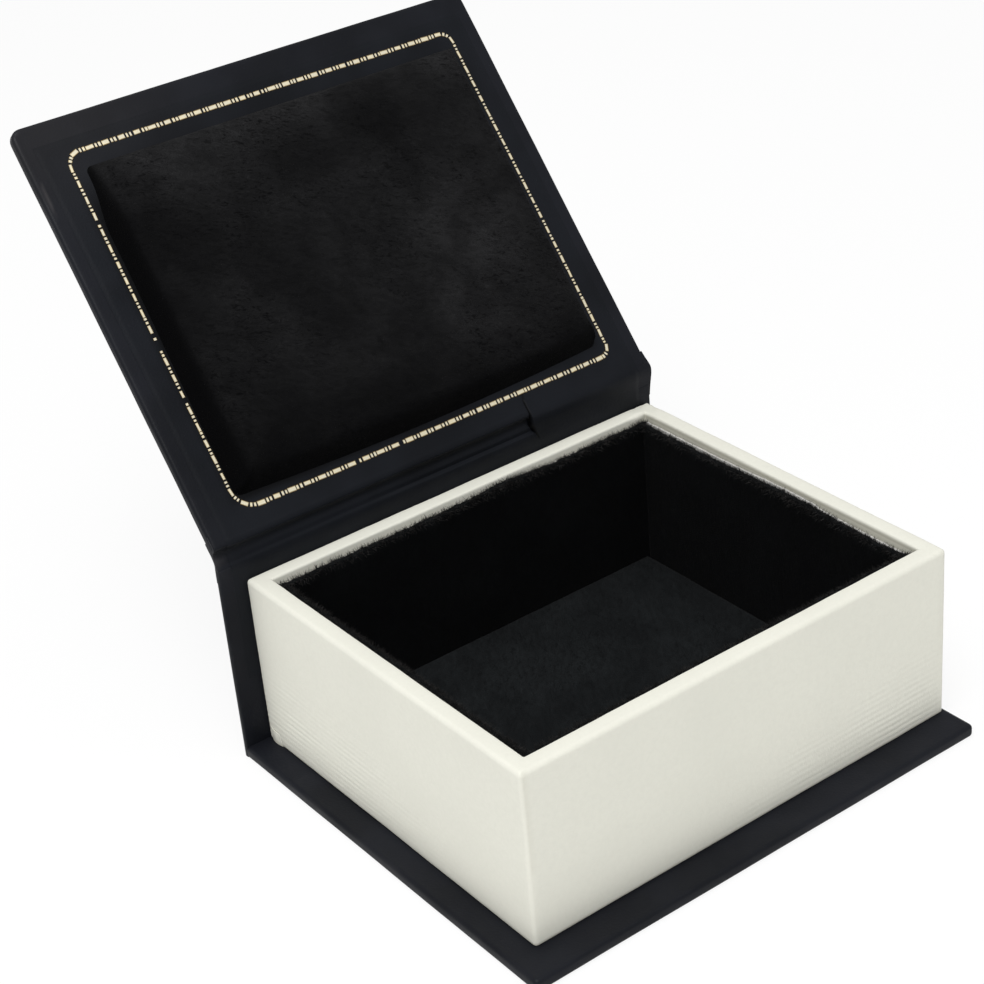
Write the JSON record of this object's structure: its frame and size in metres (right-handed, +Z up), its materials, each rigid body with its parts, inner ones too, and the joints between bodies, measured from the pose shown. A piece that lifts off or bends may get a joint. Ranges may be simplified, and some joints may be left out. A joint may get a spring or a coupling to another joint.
{
  "type": "ring display box",
  "caption": "Book-style ring display box: wrapped board case with a cloth-hinged lid, gold foil border, crowned velvet lid pad and a cream tray lined in black velvet.",
  "frame": {"origin": "centre of the base board's underside, where the box stands", "axes": "+Z up, +X to the right seen from the front, +Y towards the spine at the back; the lid opens towards +Y"},
  "size_m": [0.102, 0.1435, 0.111],
  "materials": {
    "case_leatherette": "satin",
    "liner_leatherette": "satin",
    "greyboard": "matte",
    "wrap_paper": "matte",
    "stay_paper": "matte",
    "lining_card": "matte",
    "velvet": "matte",
    "foam": "matte",
    "gold_foil": "satin"
  },
  "bodies": {
    "box": {"base_board": "greyboard", "base_cover": "case_leatherette", "spine_card": "greyboard", "spine_cover": "case_leatherette", "spine_liner": "liner_leatherette", "hinge_cloth": "case_leatherette", "hinge_liner": "liner_leatherette", "tray_front_wall": "greyboard", "tray_rear_wall": "greyboard", "tray_left_wall": "greyboard", "tray_right_wall": "greyboard", "tray_floor": "greyboard", "corner_stays": "stay_paper", "tray_wrap": "wrap_paper", "wrap_corner_flap": "wrap_paper", "front_lining_card": "lining_card", "rear_lining_card": "lining_card", "left_lining_card": "lining_card", "right_lining_card": "lining_card", "front_velvet": "velvet", "rear_velvet": "velvet", "left_velvet": "velvet", "right_velvet": "velvet", "floor_pad_card": "lining_card", "floor_pad_foam": "foam", "floor_velvet": "velvet"},
    "lid": {"lid_board": "greyboard", "lid_cover": "case_leatherette", "lid_liner": "liner_leatherette", "foil_border": "gold_foil", "lid_pad_card": "lining_card", "lid_pad_foam": "foam", "lid_pad_velvet": "velvet"}
  },
  "joints": [
    {"name": "lid_hinge", "type": "hinge", "parent": "box", "child": "lid", "pos_m": [0, 0.04418, 0.04128], "axis": [-1, 0, 0], "range_deg": [-129.4, 78], "deforming": ["hinge_cloth", "hinge_liner"]}
  ]
}
